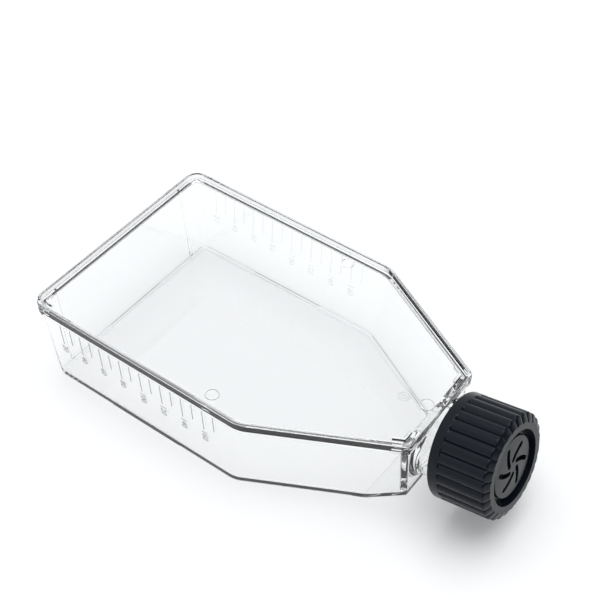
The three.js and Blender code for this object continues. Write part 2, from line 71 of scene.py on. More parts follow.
# Millimetres from the rear edge of the rim, the middle plane and the surface the flask stands on.
RIM_LENGTH = 130.3
HALF_WIDTH = 41.0
NOSE_HALF_WIDTH = 17.5
SHOULDER_BEND = 85.0
SHOULDER_SLOPE = 0.519  # how far in a shoulder comes for each millimetre ahead, to three places
RIM_PLAN = np.array([
    [0, -HALF_WIDTH], [SHOULDER_BEND, -HALF_WIDTH], [RIM_LENGTH, -NOSE_HALF_WIDTH],
    [RIM_LENGTH, NOSE_HALF_WIDTH], [SHOULDER_BEND, HALF_WIDTH], [0, HALF_WIDTH],
])
RIM_RADII = np.array([5, 11, 2, 2, 11, 5], float)
LEAST_RADIUS = 0.6
TOP = 34.7
PLATE_TOP = 33.1
SEAM = 31.8
FLANGE_UNDERSIDE = 30.4
FLOOR_TOP = 1.85
FOOT = 0.45
WALL = 1.5
FRONT_WALL = 2.4
OVERHANG = 1.0
FOOT_INSET = np.array([4.1, 2.4, 4.3, 1.6])  # rear, side, shoulder and nose wall
FOOT_ROUNDING = 0.8
FLOOR_FILLET = 1.3
FLANGE_FILLET = 0.3
FLANGE_ROUNDING = 0.25
SEAM_ROUNDING = 0.12
RAMP_START = 116.0
RAMP_SLOPE = (6.0 - FOOT) / 12.7
RAMP_LEAD = 1.4  # how far the cut under the ramp begins before it
RIDGE_SETBACK = 0.7
RIDGE_WIDTH = 1.0
RIDGE_ROOT = 1.1
RIDGE_END_BEFORE_RAMP = 3.0
REAR_GAP_HALF_WIDTH = 13.2
SIDE_GAP = (28.6, 57.5)
RIB_SPACING = 61.6
RIB_WIDTH = 0.8
RIB_DEPTH = 0.8
NECK_CANT = math.radians(11.6)
NECK_BORE = 10.0
NECK_HEIGHT = SEAM - 0.4 - NECK_BORE / math.cos(NECK_CANT)
NECK_RADIUS = 12.2
NECK_LENGTH = 21.0
NECK_TAIL = 16.0  # how far the tube reaches back into the tray
LIP_CHAMFER = 0.5
ROOT_AHEAD = 2.2
ROOT_HALF_WIDTH = 15.2
ROOT_BELOW = 13.2
ROOT_SQUARENESS = 6
ROOT_ROUNDNESS = 2.2
THREAD_PITCH = 4.0
THREAD_TURNS = 1.5
THREAD_BASE_WIDTH = 2.0
THREAD_CREST_WIDTH = 0.7
THREAD_RUN_IN = math.radians(35)
NECK_THREAD_CREST = 13.4
NECK_THREAD_START = 12.0

# Cutting blocks reach past the whole flask: across it, ahead of it and above it.
PAST_SIDE = 50
PAST_NECK = 200
PAST_TOP = 80


def to_row(points):
    """Millimetres from the rim's rear edge, turned into metres in the row's frame."""
    return points * 0.001 + np.array([RIM_REAR, 0, 0])


def plan_rings(height, inset):
    """Closed rings round the flask's plan, one for each height.

    Each wall is a straight line that stands its own inset inside the rim. Where two lines meet, an
    arc touches both: its centre lies one radius inside the first line, and its points swing from
    that line's outward direction to the next one's. The smaller inset comes off the arc's radius,
    so that a wall keeps its thickness round a corner.
    """
    height = np.asarray(height, float)
    inset = np.broadcast_to(np.asarray(inset, float), (len(height), 4))
    off = inset[:, [1, 2, 3, 2, 1, 0]]
    along = np.roll(RIM_PLAN, -1, 0) - RIM_PLAN
    along /= np.linalg.norm(along, axis=1)[:, None]
    outward = np.stack([along[:, 1], -along[:, 0]], 1)
    reach = (outward * RIM_PLAN).sum(1) - off
    first, last = np.roll(outward, 1, 0), outward
    reach_first = np.roll(reach, 1, 1)
    cross = first[:, 0] * last[:, 1] - first[:, 1] * last[:, 0]
    corner = np.stack([
        (reach_first * last[:, 1] - reach * first[:, 1]) / cross,
        (reach * first[:, 0] - reach_first * last[:, 0]) / cross,
    ], -1)
    radius = np.maximum(RIM_RADII - np.minimum(np.roll(off, 1, 1), off), LEAST_RADIUS)
    turn = np.arcsin(cross)
    swing = turn[:, None] * np.linspace(0, 1, 17)
    before = np.roll(along, 1, 0)
    start = corner - before * (radius * np.tan(turn / 2))[..., None]
    centre = start - first * radius[..., None]
    spoke = (
        first[:, None] * np.cos(swing)[..., None] + before[:, None] * np.sin(swing)[..., None]
    )
    point = centre[:, :, None] + radius[..., None, None] * spoke
    point = point.reshape(len(height), -1, 2)
    level = np.broadcast_to(height[:, None, None], point.shape[:2] + (1,))
    return np.concatenate([point, level], -1)


def leaning_inset(height):
    """Each wall's inset at a height: a straight lean from the foot's inset to the flange's."""
    share = np.clip((np.asarray(height, float) - FOOT) / (FLANGE_UNDERSIDE - FOOT), 0, 1)
    return FOOT_INSET + (OVERHANG - FOOT_INSET) * share[:, None]


def rounded_foot(base, thickness, radius):
    """Heights and insets of a quarter round that leads from a floor at base into a leaning wall."""
    bend = np.linspace(0, math.pi / 2, 9)
    height = base + radius * (1 - np.cos(bend))
    return height, leaning_inset(height) + thickness + (radius * (1 - np.sin(bend)))[:, None]


def turned_rings(profile, steps):
    """A profile of (radius, height) pairs turned about the Z axis, one ring for each pair."""
    radius, height = np.array(profile, float).T[:, :, None]
    angle = np.arange(steps) * (2 * math.pi / steps)
    return np.stack(np.broadcast_arrays(
        radius * np.cos(angle), radius * np.sin(angle), height), -1)


def on_neck(points, ahead=0.0):
    """From the neck's own frame, with Z along its axis from the rim, into the flask's frame."""
    down = np.array([math.sin(NECK_CANT), 0, -math.cos(NECK_CANT)])
    axis = np.array([math.cos(NECK_CANT), 0, math.sin(NECK_CANT)])
    base = np.array([RIM_LENGTH, 0, NECK_HEIGHT])
    across = np.array([0.0, 1.0, 0.0])
    return (
        base + points[..., :1] * down + points[..., 1:2] * across + (points[..., 2:] + ahead) * axis
    )


def helix_rings(root, crest, first):
    """A thread ridge: a four-sided section carried along a right-hand helix.

    A point that has turned through an angle stands that share of the pitch further along the axis.
    The section's root side is sunk in the wall, and its crest dives into the wall at both ends: it
    follows a smooth step, three times the share squared less twice its cube.
    """
    angle = np.linspace(0, 2 * math.pi * THREAD_TURNS, int(72 * THREAD_TURNS) + 1)
    climb = first + THREAD_PITCH * angle / (2 * math.pi)
    share = np.clip(np.minimum(angle, angle[-1] - angle) / THREAD_RUN_IN, 0, 1)
    share = share * share * (3 - 2 * share)
    side = math.copysign(1, crest - root)
    sunk = root - side * 0.5
    dive = side * 0.15
    tip = root - dive + (crest - root + dive) * share
    radius = np.stack([sunk + 0 * tip, sunk + 0 * tip, tip, tip], -1)
    widths = np.array([
        -THREAD_BASE_WIDTH, THREAD_BASE_WIDTH, THREAD_CREST_WIDTH, -THREAD_CREST_WIDTH]) / 2
    height = climb[:, None] + widths * side
    ring = np.stack([radius * np.cos(angle)[:, None], radius * np.sin(angle)[:, None], height], -1)
    return ring[:, ::-1]


def solid(name, rings, endless=False):
    """A closed surface through rings of equal count, each turning anticlockwise seen from ahead.

    Every ring is joined to the next by four-sided faces. An endless one closes on its first ring,
    and any other is capped by its flat first and last rings.
    """
    bands, count = rings.shape[:2]
    ring = np.arange(bands if endless else bands - 1)[:, None]
    here, ahead = ring * count, (ring + 1) % bands * count
    step = np.arange(count)[None]
    beside = (step + 1) % count
    quads = np.stack([here + step, here + beside, ahead + beside, ahead + step], -1)
    faces = quads.reshape(-1, 4).tolist()
    if not endless:
        faces.append(np.arange(count)[::-1].tolist())
        faces.append((np.arange(count) + (bands - 1) * count).tolist())
    mesh = bpy.data.meshes.new(name)
    mesh.from_pydata(rings.reshape(-1, 3).tolist(), [], faces)
    mesh.update()
    piece = bpy.data.objects.new(name, mesh)
    bpy.context.scene.collection.objects.link(piece)
    return piece


def block(low, high):
    """A box between two corners."""
    (x0, y0, z0), (x1, y1, z1) = low, high
    ring = np.array([[x0, y0], [x1, y0], [x1, y1], [x0, y1]], float)
    levels = [np.column_stack([ring, np.full(4, z)]) for z in (z0, z1)]
    return solid("block", np.array(levels))


def combine(piece, tool, operation):
    """Joins a tool to a piece, cuts it away or keeps what they share, and clears the tool away."""
    step = piece.modifiers.new("combine", "BOOLEAN")
    step.object = tool
    step.operation = operation
    step.solver = "MANIFOLD"
    shaped = bpy.data.meshes.new_from_object(
        piece.evaluated_get(bpy.context.evaluated_depsgraph_get()))
    piece.modifiers.clear()
    old = piece.data
    piece.data = shaped
    bpy.data.meshes.remove(old)
    bpy.data.objects.remove(tool)
    return piece


def under_ramp(level):
    """What lies under the ramp, down from a plane that leaves the level at the ramp's start."""
    slope_angle = math.atan(RAMP_SLOPE)
    start = RAMP_START - (level - FOOT) * math.tan(slope_angle / 2)
    before, far = start - RAMP_LEAD, RIM_LENGTH * 1.2
    outline = np.array([
        [before, -TOP], [far, -TOP],
        [far, level + (far - start) * RAMP_SLOPE], [before, level - RAMP_LEAD * RAMP_SLOPE],
    ])
    sides = [np.column_stack([outline[:, 0], np.full(4, y), outline[:, 1]])
             for y in (PAST_SIDE + 10, -PAST_SIDE - 10)]
    return solid("under_ramp", np.array(sides))


def frame_strip(low, high, outer, inner):
    """A wall that follows the plan between two heights and two insets."""
    height = np.array([low, high, high, low])
    inset = np.array([np.broadcast_to(i, 4) for i in (outer, outer, inner, inner)], float)
    return solid("frame_strip", plan_rings(height, inset), endless=True)


def tray_outside():
    """The tray before it is hollowed: rounded foot, leaning walls, flange with softened edges."""
    foot_height, foot_inset = rounded_foot(FOOT, 0, FOOT_ROUNDING)
    bend = np.linspace(0, math.pi / 2, 5)
    fillet_height = FLANGE_UNDERSIDE - FLANGE_FILLET * (1 - np.sin(bend))
    fillet_inset = np.repeat((OVERHANG - FLANGE_FILLET * (1 - np.cos(bend)))[:, None], 4, 1)
    edge_height = FLANGE_UNDERSIDE + FLANGE_ROUNDING * (1 - np.cos(bend))
    edge_inset = np.repeat((FLANGE_ROUNDING * (1 - np.sin(bend)))[:, None], 4, 1)
    top_inset = np.array([[0], [SEAM_ROUNDING]]) * np.ones(4)
    top_height = [SEAM - SEAM_ROUNDING, SEAM]
    height = np.concatenate([foot_height, fillet_height, edge_height, top_height])
    inset = np.concatenate([foot_inset, fillet_inset, edge_inset, top_inset])
    return combine(solid("tray", plan_rings(height, inset)), under_ramp(FOOT), "DIFFERENCE")


def tray_hollow():
    """The space inside the tray, filleted round its floor and open through the seam."""
    height, inset = rounded_foot(FLOOR_TOP, WALL, FLOOR_FILLET)
    height = np.append(height, [FLANGE_UNDERSIDE, TOP])
    inset = np.concatenate([inset, np.full((2, 4), OVERHANG + WALL)])
    inset[:, 3] += FRONT_WALL - WALL
    return combine(solid("hollow", plan_rings(height, inset)), under_ramp(FLOOR_TOP), "DIFFERENCE")


def foot_ridges():
    """Ridges under the floor's edge, broken by a gap in the rear and one in each side."""
    outer = FOOT_INSET + RIDGE_SETBACK
    ridge = frame_strip(0, RIDGE_ROOT, outer, outer + RIDGE_WIDTH)
    ramp = RAMP_START - RIDGE_END_BEFORE_RAMP
    for start, end, half in (
            (0, 30, REAR_GAP_HALF_WIDTH), (*SIDE_GAP, PAST_SIDE), (ramp, PAST_NECK, PAST_SIDE)):
        combine(ridge, block((start, -half, -1), (end, half, RIDGE_ROOT + 1)), "DIFFERENCE")
    return ridge


def rear_rib(y):
    """A rib up the outside of the rear wall, from the rounded foot to the flange."""
    height = np.array([FOOT + FOOT_ROUNDING, FLANGE_UNDERSIDE + 0.2])
    face = leaning_inset(height)[:, 0]
    across = y + np.array([-RIB_WIDTH, -RIB_WIDTH, RIB_WIDTH, RIB_WIDTH]) / 2
    forward = np.array([-RIB_DEPTH, WALL / 2, WALL / 2, -RIB_DEPTH])
    return solid("rear_rib", np.stack(np.broadcast_arrays(
        face[:, None] + forward, across, height[:, None]), -1))


def neck_root():
    """A hollow fillet where the neck leaves the leaning front wall.

    Round the neck's axis, each section is drawn in radius and in distance ahead of the wall's face.
    The wall's face is a plane, so its distance along the axis is found from the plane's equation.
    The fillet's outline on the wall is a superellipse, squarish towards the rim and round below:
    the shares of its two half-widths, each raised to one power, add up to one. It ends level with
    the seam, and with the ramp's underside.
    """
    lean = (FOOT_INSET[3] - OVERHANG) / (FLANGE_UNDERSIDE - FOOT)
    wall_normal = np.array([1, 0, -lean]) / math.hypot(1, lean)
    axis = np.array([math.cos(NECK_CANT), 0, math.sin(NECK_CANT)])
    wall_point = np.array([RIM_LENGTH - OVERHANG, 0, FLANGE_UNDERSIDE])
    angle = np.arange(96)[:, None] * (2 * math.pi / 96)
    below = np.cos(angle) > 0
    power = np.where(below, ROOT_ROUNDNESS, ROOT_SQUARENESS)
    extent = np.where(below, ROOT_BELOW, ROOT_HALF_WIDTH)
    reach = (np.abs(np.sin(angle) / ROOT_HALF_WIDTH) ** power
             + np.abs(np.cos(angle) / extent) ** power) ** (-1 / power)
    bend = np.linspace(math.pi / 2, 0, 9)
    fillet = NECK_RADIUS + (reach - NECK_RADIUS) * (1 - np.sin(bend))
    inner = np.full_like(angle, NECK_RADIUS - 1.1)
    radius = np.concatenate([reach, inner, inner, fillet], 1)
    ahead = np.concatenate([[-WALL / 2, -WALL / 2, ROOT_AHEAD], ROOT_AHEAD * (1 - np.cos(bend))])
    flat = np.stack(np.broadcast_arrays(
        radius * np.cos(angle), radius * np.sin(angle), 0 * radius), -1)
    on_wall = ((wall_point - on_neck(flat)) @ wall_normal) / (axis @ wall_normal)
    flat[..., 2] = on_wall + ahead
    root = placed_on_neck(solid("neck_root", flat, endless=True))
    above = block((RIM_LENGTH - 9, -PAST_SIDE, SEAM), (PAST_NECK, PAST_SIDE, PAST_TOP))
    combine(root, above, "DIFFERENCE")
    return combine(root, under_ramp(FOOT), "DIFFERENCE")


def neck():
    """The neck with its chamfered lip and one and a half turns of thread."""
    tube = solid("neck", turned_rings(
        [(NECK_RADIUS, -NECK_TAIL), (NECK_RADIUS, NECK_LENGTH - LIP_CHAMFER),
         (NECK_RADIUS - 0.1, NECK_LENGTH - 0.2), (NECK_RADIUS - LIP_CHAMFER, NECK_LENGTH)], 144))
    ridge = helix_rings(NECK_RADIUS, NECK_THREAD_CREST, NECK_THREAD_START)
    return combine(tube, solid("thread", ridge), "UNION")


def neck_bore():
    """What is cut from the neck: the bore, flared at the lip."""
    return solid("bore", turned_rings(
        [(NECK_BORE, -NECK_TAIL), (NECK_BORE, NECK_LENGTH - LIP_CHAMFER),
         (NECK_BORE + 0.1, NECK_LENGTH - 0.2), (NECK_BORE + 0.4, NECK_LENGTH),
         (NECK_BORE + 1.4, NECK_LENGTH + 1)], 144))


def placed_on_neck(piece, ahead=0.0):
    """Moves a piece's mesh from the neck's frame into the flask's."""
    points = np.empty(len(piece.data.vertices) * 3, np.float32)
    piece.data.vertices.foreach_get("co", points)
    moved = on_neck(points.reshape(-1, 3).astype(float), ahead)
    piece.data.vertices.foreach_set("co", moved.ravel().astype(np.float32))
    piece.data.update()
    return piece


def finished(piece, name, material, crease=28):
    """Names a piece, moves it into the row's frame and shades it: smooth, but split at creases.

    A vertex on a crease keeps one normal for each side, and elsewhere the larger faces decide it,
    so that flat walls stay flat beside their rounded edges.
    """
    piece.name = name
    piece.data.name = name
    points = np.empty(len(piece.data.vertices) * 3, np.float32)
    piece.data.vertices.foreach_get("co", points)
    placed = to_row(points.reshape(-1, 3).astype(float))
    piece.data.vertices.foreach_set("co", placed.ravel().astype(np.float32))
    piece.data.materials.clear()
    piece.data.materials.append(material)
    piece.data.polygons.foreach_set("use_smooth", np.ones(len(piece.data.polygons), bool))
    piece.data.set_sharp_from_angle(angle=math.radians(crease))
    piece.data.update()
    weights = piece.modifiers.new("weighted_normals", "WEIGHTED_NORMAL")
    weights.keep_sharp = True
    return piece


def node(owner, kind, **values):
    """A shader node of a material or world, with its settings and the values of its sockets."""
    made = owner.node_tree.nodes.new(kind)
    for key, value in values.items():
        if hasattr(made, key):
            setattr(made, key, value)
        else:
            made.inputs[key.replace("_", " ")].default_value = value
    return made


def surfaced(name, **values):
    """A material whose surface has the given values."""
    material = bpy.data.materials.new(name)
    material.use_nodes = True
    for key, value in values.items():
        socket = material.node_tree.nodes["Principled BSDF"].inputs[key.replace("_", " ")]
        socket.default_value = value
    return material


def speckle(material, scale, detail):
    """Noise that is fixed to the object, as finely grained as its scale is large."""
    place = node(material, "ShaderNodeTexCoord")
    noise = node(material, "ShaderNodeTexNoise", Scale=scale, Detail=detail)
    material.node_tree.links.new(place.outputs["Object"], noise.inputs["Vector"])
    return noise


def relief(material, noise, strength, depth):
    """Lets noise raise and sink a material's surface, by a depth in metres."""
    links = material.node_tree.links
    surface = material.node_tree.nodes["Principled BSDF"]
    bump = node(material, "ShaderNodeBump", Strength=strength, Distance=depth)
    links.new(noise.outputs["Fac"], bump.inputs["Height"])
    links.new(bump.outputs["Normal"], surface.inputs["Normal"])


def uneven_gloss(material, noise, **limits):
    """Lets noise lead a material's roughness between limits."""
    links = material.node_tree.links
    surface = material.node_tree.nodes["Principled BSDF"]
    rough = node(material, "ShaderNodeMapRange", **limits)
    links.new(noise.outputs["Fac"], rough.inputs["Value"])
    links.new(rough.outputs["Result"], surface.inputs["Roughness"])


def tinted(material, noise, low, high):
    """Lets noise lead a material's colour from low to high, and returns the colour's socket."""
    links = material.node_tree.links
    surface = material.node_tree.nodes["Principled BSDF"]
    tone = node(material, "ShaderNodeValToRGB")
    tone.color_ramp.elements[0].color = low
    tone.color_ramp.elements[1].color = high
    links.new(noise.outputs["Fac"], tone.inputs["Fac"])
    links.new(tone.outputs["Color"], surface.inputs["Base Color"])
    return tone.outputs["Color"]


def clear_polystyrene():
    """Clear moulded polystyrene: high gloss, with a trace of flow waviness.

    What is seen through it is refracted. Light from a lamp, and light on its way between matt
    surfaces, goes straight through instead, with a loss that grows towards grazing, as a wall met
    edge-on takes more.
    """
    material = surfaced(
        "clear_polystyrene", Base_Color=(0.985, 0.99, 0.992, 1), Transmission_Weight=1, IOR=1.59)
    links = material.node_tree.links
    surface = material.node_tree.nodes["Principled BSDF"]
    uneven_gloss(
        material, speckle(material, scale=900.0, detail=2.0),
        From_Min=0.35, From_Max=0.75, To_Min=0.0, To_Max=0.02)
    relief(material, speckle(material, scale=45.0, detail=1.0), strength=0.12, depth=0.0004)
    edge = node(material, "ShaderNodeLayerWeight", Blend=0.35)
    loss = node(material, "ShaderNodeMapRange", To_Min=0.995, To_Max=0.75)
    passing = node(material, "ShaderNodeBsdfTransparent")
    rays = node(material, "ShaderNodeLightPath")
    lamp_or_floor = node(material, "ShaderNodeMath", operation="MAXIMUM")
    mix = node(material, "ShaderNodeMixShader")
    links.new(edge.outputs["Facing"], loss.inputs["Value"])
    links.new(loss.outputs["Result"], passing.inputs["Color"])
    links.new(rays.outputs["Is Shadow Ray"], lamp_or_floor.inputs[0])
    links.new(rays.outputs["Is Diffuse Ray"], lamp_or_floor.inputs[1])
    links.new(lamp_or_floor.outputs["Value"], mix.inputs["Fac"])
    links.new(surface.outputs["BSDF"], mix.inputs[1])
    links.new(passing.outputs["BSDF"], mix.inputs[2])
    links.new(mix.outputs["Shader"], material.node_tree.nodes["Material Output"].inputs["Surface"])
    return material


styrene = clear_polystyrene()

tray = tray_outside()
combine(tray, foot_ridges(), "UNION")
combine(tray, rear_rib(RIB_SPACING / 2), "UNION")
combine(tray, rear_rib(-RIB_SPACING / 2), "UNION")
combine(tray, placed_on_neck(neck()), "UNION")
combine(tray, neck_root(), "UNION")
combine(tray, block((-1, -PAST_SIDE, SEAM), (RIM_LENGTH, PAST_SIDE, PAST_TOP)), "DIFFERENCE")
combine(tray, tray_hollow(), "DIFFERENCE")
combine(tray, placed_on_neck(neck_bore()), "DIFFERENCE")
finished(tray, "tray_and_neck", styrene)
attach(tray, "flask")
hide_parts("flask_body")

# ---- Cover plate ---------------------------------------------------------------------------------
# A second clear moulding in polystyrene, welded all round onto the tray's flange. A ridge round its
# edge and an L-shaped lug in each corner hold the next flask of a stack.

SEAM_GAP = 0.03
EDGE_OUTER_ROUNDING = 0.5
EDGE_INNER_ROUNDING = 0.15
EDGE_FLAT_END = 1.05  # where the ridge's level top turns down to the plate
LUG_INSET = 2.6
LUG_SETBACK = 0.2
LUG_WIDTH = 1.1
LUG_ARM = 4.0
LUG_TOP = PLATE_TOP + 0.9
MOULD_RINGS = (  # each one's place, radius and thickness
    (71, -35.4, 2.1, 0.2), (71, 35.4, 2.1, 0.2), (125, 0, 2.2, 0.2),
    (117.7, -1.5, 1.7, 0.12), (117.7, -1.5, 0.8, 0.12),
)


def cover_blank():
    """The plate and its ridge as one profile carried round the plan."""
    bend = np.linspace(0, math.pi / 2, 7)
    underside = SEAM + SEAM_GAP
    outer, inner = EDGE_OUTER_ROUNDING, EDGE_INNER_ROUNDING
    fillet_start = EDGE_FLAT_END + 2 * inner
    path = [(underside, SEAM_ROUNDING), (underside + SEAM_ROUNDING, 0)]
    path += [(TOP - outer * (1 - math.sin(a)), outer * (1 - math.cos(a))) for a in bend]
    path += [(TOP - inner * (1 - math.cos(a)), EDGE_FLAT_END + inner * math.sin(a))
             for a in bend[::3]]
    path += [(PLATE_TOP + inner * (1 - math.sin(a)), fillet_start + inner * (1 - math.cos(a)))
             for a in bend[::3]]
    height, inset = np.array(path).T
    return solid("cover", plan_rings(height, inset[:, None]))


def lug(x, y):
    """A corner of a round-topped strip that follows the plan.

    The strip's section is a half circle on two straight sides. What stays of it lies within an
    arm's length of the corner.
    """
    bend = np.linspace(-math.pi / 2, math.pi / 2, 9)
    half = LUG_WIDTH / 2
    middle = LUG_INSET + LUG_SETBACK + half
    root = PLATE_TOP - 0.7
    height = np.concatenate([[root], LUG_TOP - half + half * np.cos(bend), [root]])
    inset = np.concatenate([[middle - half], middle + half * np.sin(bend), [middle + half]])
    strip = solid("lug", plan_rings(height, inset[:, None]), endless=True)
    post = turned_rings([(LUG_ARM, PLATE_TOP - 2), (LUG_ARM, LUG_TOP + 2)], 48)
    return combine(strip, solid("post", post + np.array([x, y, 0])), "INTERSECT")


def ring_mark(x, y, radius, thickness):
    """A hair-thin raised ring left by the mould."""
    angle = np.arange(48)[:, None] * (2 * math.pi / 48)
    bend = np.arange(8) * (2 * math.pi / 8)
    reach = radius + thickness * np.cos(bend)
    rings = np.stack([x + reach * np.cos(angle), y + reach * np.sin(angle),
                      np.broadcast_to(PLATE_TOP + thickness * np.sin(bend), (48, 8))], -1)
    return solid("mark", rings[:, ::-1], endless=True)


cover = cover_blank()
# A nose corner's lug stands where the nose's and the shoulder's lines meet, each moved in by the
# lug's inset.
rear_lug = HALF_WIDTH - LUG_INSET
nose_lug = (NOSE_HALF_WIDTH + LUG_INSET * SHOULDER_SLOPE
            - LUG_INSET * math.hypot(1, SHOULDER_SLOPE))
for x, y in ((LUG_INSET, -rear_lug), (LUG_INSET, rear_lug),
             (RIM_LENGTH - LUG_INSET, -nose_lug), (RIM_LENGTH - LUG_INSET, nose_lug)):
    combine(cover, lug(x, y), "UNION")
for x, y, radius, thickness in MOULD_RINGS:
    combine(cover, ring_mark(x, y, radius, thickness), "UNION")
finished(cover, "cover_plate", styrene)
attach(cover, "flask")
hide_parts("top_plate")

# ---- Volume scale --------------------------------------------------------------------------------
# Raised marks on the outside of both side walls, moulded with the tray in polystyrene. They read
# with the flask stood on its rear wall, neck up. Their steps of ten millilitres are assumed. The
# left wall's marks are painted paler and clearer and the right wall's darker: painted light and
# shade, where both walls carry the same moulded marks.

SCALE_FIRST = 11.1
SCALE_STEP = 8.457
STEP_MILLILITRES = 20
STEP_COUNT = 8
TICK_TOP = 30.0
LONG_TICK_END = 19.9
SHORT_TICK_END = 21.8
TICK_WIDTH = 0.26
NUMBERS_START = 19.1
NUMBER_SIZE = 3.3
MARK_BACK = 0.02  # how far off the wall's face a tick begins and ends
MARK_FRONT = 0.14


def scale_marks():
    """Ticks and numbers as flat solids: X along the wall, Y up it from the base, Z out of it."""
    parts = []
    for i in range(2 * STEP_COUNT):
        x = SCALE_FIRST + SCALE_STEP * i / 2
        bottom = LONG_TICK_END if i % 2 == 0 else SHORT_TICK_END
        parts.append(block(
            (x - TICK_WIDTH / 2, bottom, MARK_BACK), (x + TICK_WIDTH / 2, TICK_TOP, MARK_FRONT)))
    for i in range(STEP_COUNT):
        letters = bpy.data.curves.new("number", "FONT")
        letters.body = str(STEP_MILLILITRES * (i + 1))
        letters.size = NUMBER_SIZE
        letters.extrude = 0.05
        letters.resolution_u = 3
        letters.align_y = "CENTER"
        shape = bpy.data.objects.new("number", letters)
        bpy.context.scene.collection.objects.link(shape)
        mesh = bpy.data.meshes.new_from_object(
            shape.evaluated_get(bpy.context.evaluated_depsgraph_get()))
        bpy.data.objects.remove(shape)
        points = np.array([v.co for v in mesh.vertices])
        placed = np.column_stack([
            SCALE_FIRST + SCALE_STEP * i + points[:, 1], NUMBERS_START - points[:, 0],
            (MARK_BACK + MARK_FRONT) / 2 + points[:, 2]])
        mesh.vertices.foreach_set("co", placed.ravel())
        number = bpy.data.objects.new("number", mesh)
        bpy.context.scene.collection.objects.link(number)
        parts.append(number)
    return parts


def joined(parts):
    """Several meshes' vertices and faces as one pair of lists."""
    points, faces, start = [], [], 0
    for part in parts:
        mesh = part.data
        points.append(np.array([v.co for v in mesh.vertices]))
        faces += [[start + i for i in face.vertices] for face in mesh.polygons]
        start += len(mesh.vertices)
        bpy.data.objects.remove(part)
    return np.concatenate(points), faces


def on_side_wall(points, side):
    """Lays flat marks on a side wall: what stands out of the wall goes outwards from its lean."""
    lean = leaning_inset(points[:, 1])[:, 1]
    return np.column_stack([points[:, 0], side * (HALF_WIDTH - lean + points[:, 2]), points[:, 1]])


def matt_plastic_painted_tone(name, tone, clear):
    """The tray's plastic with a matt face: it scatters what it doesn't let through. Its tone, set
    for each wall, is painted light and shade.
    """
    material = surfaced(
        name, Base_Color=(tone, tone, tone, 1), Roughness=0.55, Alpha=1 - clear)
    relief(material, speckle(material, scale=3000.0, detail=2.0), strength=0.3, depth=0.00005)
    return material


# Painted light and shade: the right wall's marks are painted a darker grey, and the left wall's a
# paler and clearer one.
lit_and_shaded_marks = {-1: matt_plastic_painted_tone("matt_plastic_painted_tone", 0.5, 0.2),
          1: matt_plastic_painted_tone("pale_painted_matt_plastic", 0.95, 0.75)}
flat_marks, mark_faces = joined(scale_marks())
for side, name in ((-1, "scale_right"), (1, "scale_left")):
    faces = mark_faces if side > 0 else [face[::-1] for face in mark_faces]
    mesh = bpy.data.meshes.new(name)
    mesh.from_pydata(on_side_wall(flat_marks, side).tolist(), [], faces)
    scale = bpy.data.objects.new(name, mesh)
    bpy.context.scene.collection.objects.link(scale)
    finished(scale, name, lit_and_shaded_marks[side])
    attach(scale, "flask")

# ---- Screw cap -----------------------------------------------------------------------------------
# A moulded cap in charcoal polyethylene. Ribs round its skirt give grip, and six slots that sweep
# round its sunken face let gas through to the membrane behind it.

CAP_STANDOFF = 6.5
CAP_LENGTH = 19.8
CAP_RADIUS = 16.9
CAP_BORE = 13.9
CAP_END_INSIDE = 16.9
CAP_THREAD_CREST = 12.7
CAP_THREAD_START = 3.5
MOUTH_ROUNDING = 0.3
BEAD_REACH = 0.8
BEAD_LEVELS = (14.65, 14.25, 13.85, 13.05)  # its upper root, its crest and its lower root
RIB_COUNT = 28
RIB_HEIGHT = 0.8
RIB_ARCH = 0.95  # half of a rib's width, as a share of its circle's radius
RIB_END_SHARE = 0.3  # how much of the ribs' squared height is left at the cap's end
PLAIN_BAND = 3.0
RIB_RUNOUT = 0.7
EDGE_ROUNDING = 0.8
EDGE_SLOPE = math.radians(65)
FACE_RADIUS = 14.4
RECESS_RADIUS = 12.1
RECESS_DEPTH = 1.0
GROOVE_WIDTH = 2.15
GROOVE_DEPTH = 2.3
GROOVE_DRAFT = 0.1
DISC_ROUNDING = 0.12
DISC_DOME = 0.3
SLOT_COUNT = 6
SLOT_WIDTH = 1.6
SLOT_OUTER = 8.2
SLOT_INNER = 1.7
SLOT_TURN = math.radians(10)
SLOT_SWEEP = math.radians(40)
SLOT_BOW = 0.4


